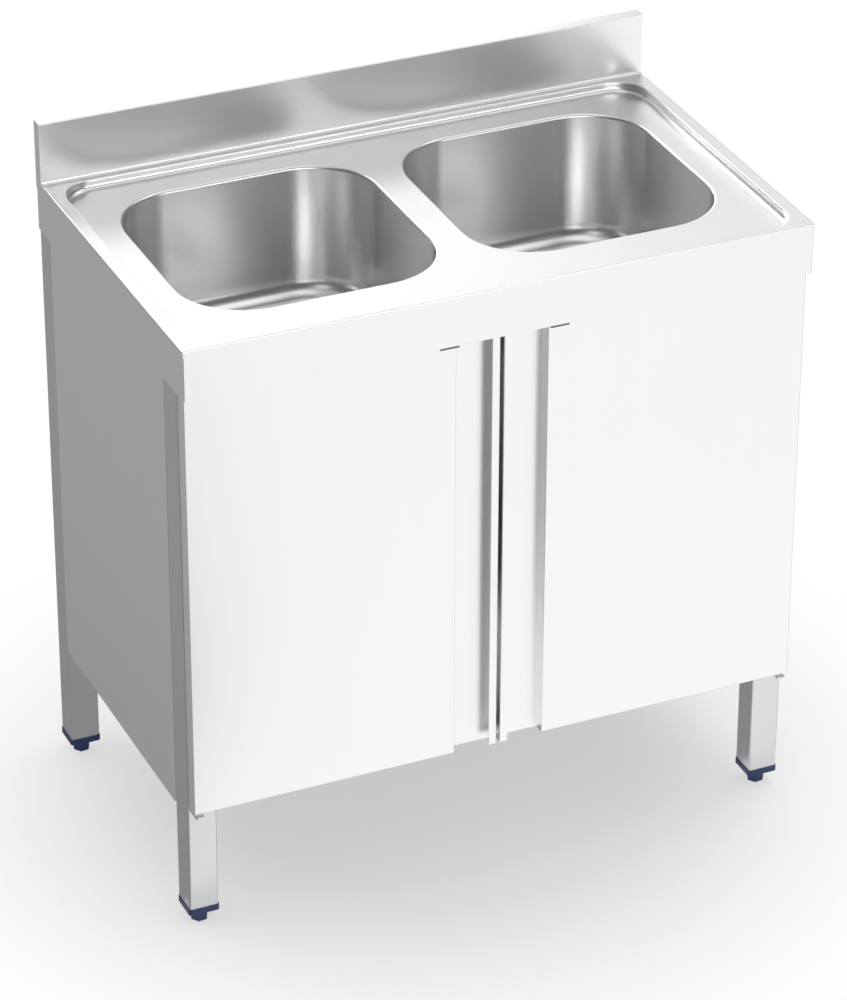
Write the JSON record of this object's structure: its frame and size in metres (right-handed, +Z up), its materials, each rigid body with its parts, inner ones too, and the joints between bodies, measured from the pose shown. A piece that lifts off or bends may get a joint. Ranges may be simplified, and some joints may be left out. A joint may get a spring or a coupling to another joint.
{
  "type": "kitchen sink unit",
  "caption": "Freestanding stainless steel sink cabinet on square legs, with a pressed worktop, deep bowls, a backsplash and hinged double-wall doors with folded full-height grips.",
  "frame": {"origin": "on the floor, in the middle of the footprint of the worktop", "axes": "+X to the right seen from the front, +Y from the doors to the backsplash, +Z up"},
  "size_m": [0.85, 0.51, 0.94],
  "materials": {
    "worktop_steel": "brushed along the length",
    "bowl_steel": "satin",
    "panel_steel": "brushed upwards",
    "frame_steel": "brushed along the tube",
    "fixing_steel": "bright zinc",
    "strainer_steel": "polished",
    "foot_plastic": "navy blue, fine grained",
    "bush_plastic": "natural nylon",
    "catch_plastic": "dark grey",
    "waste_plastic": "black",
    "rubber": "matt black"
  },
  "bodies": {
    "cabinet": {"worktop": "worktop_steel", "left_bowl": "bowl_steel", "right_bowl": "bowl_steel", "front_top_rail": "frame_steel", "rear_top_rail": "frame_steel", "left_top_rail": "frame_steel", "right_top_rail": "frame_steel", "centre_stiffener": "frame_steel", "shelf_stiffener": "frame_steel", "front_left_leg": "frame_steel", "front_left_leg_cap": "foot_plastic", "front_right_leg": "frame_steel", "front_right_leg_cap": "foot_plastic", "rear_left_leg": "frame_steel", "rear_left_leg_cap": "foot_plastic", "rear_right_leg": "frame_steel", "rear_right_leg_cap": "foot_plastic", "left_side_panel": "panel_steel", "right_side_panel": "panel_steel", "back_panel": "panel_steel", "bottom_shelf": "panel_steel", "left_lower_hinge_bracket": "fixing_steel", "left_upper_hinge_bracket": "fixing_steel", "left_lower_hinge_pin": "fixing_steel", "left_upper_hinge_pin": "fixing_steel", "left_catch": "catch_plastic", "left_strainer_flange": "strainer_steel", "left_waste_gasket": "rubber", "left_waste_body": "waste_plastic", "left_waste_screw": "fixing_steel", "right_lower_hinge_bracket": "fixing_steel", "right_upper_hinge_bracket": "fixing_steel", "right_lower_hinge_pin": "fixing_steel", "right_upper_hinge_pin": "fixing_steel", "right_catch": "catch_plastic", "right_strainer_flange": "strainer_steel", "right_waste_gasket": "rubber", "right_waste_body": "waste_plastic", "right_waste_screw": "fixing_steel", "door_buffers": "rubber"},
    "left_door": {"left_door_outer_skin": "panel_steel", "left_door_inner_skin": "panel_steel", "left_door_lower_bush": "bush_plastic", "left_door_upper_bush": "bush_plastic", "left_door_strike_plate": "fixing_steel"},
    "right_door": {"right_door_outer_skin": "panel_steel", "right_door_inner_skin": "panel_steel", "right_door_lower_bush": "bush_plastic", "right_door_upper_bush": "bush_plastic", "right_door_strike_plate": "fixing_steel"},
    "front_left_levelling_foot": {"front_left_foot": "foot_plastic", "front_left_foot_stem": "fixing_steel"},
    "front_right_levelling_foot": {"front_right_foot": "foot_plastic", "front_right_foot_stem": "fixing_steel"},
    "rear_left_levelling_foot": {"rear_left_foot": "foot_plastic", "rear_left_foot_stem": "fixing_steel"},
    "rear_right_levelling_foot": {"rear_right_foot": "foot_plastic", "rear_right_foot_stem": "fixing_steel"}
  },
  "joints": [
    {"name": "left_door_hinge", "type": "hinge", "parent": "cabinet", "child": "left_door", "pos_m": [-0.413, -0.236, 0.187], "axis": [0, 0, -1], "range_deg": [0, 180]},
    {"name": "right_door_hinge", "type": "hinge", "parent": "cabinet", "child": "right_door", "pos_m": [0.413, -0.236, 0.187], "axis": [0, 0, 1], "range_deg": [0, 180]},
    {"name": "front_left_foot_height", "type": "slide", "parent": "cabinet", "child": "front_left_levelling_foot", "axis": [0, 0, -1], "range_m": [0, 0.025]},
    {"name": "front_right_foot_height", "type": "slide", "parent": "cabinet", "child": "front_right_levelling_foot", "axis": [0, 0, -1], "range_m": [0, 0.025]},
    {"name": "rear_left_foot_height", "type": "slide", "parent": "cabinet", "child": "rear_left_levelling_foot", "axis": [0, 0, -1], "range_m": [0, 0.025]},
    {"name": "rear_right_foot_height", "type": "slide", "parent": "cabinet", "child": "rear_right_levelling_foot", "axis": [0, 0, -1], "range_m": [0, 0.025]}
  ]
}
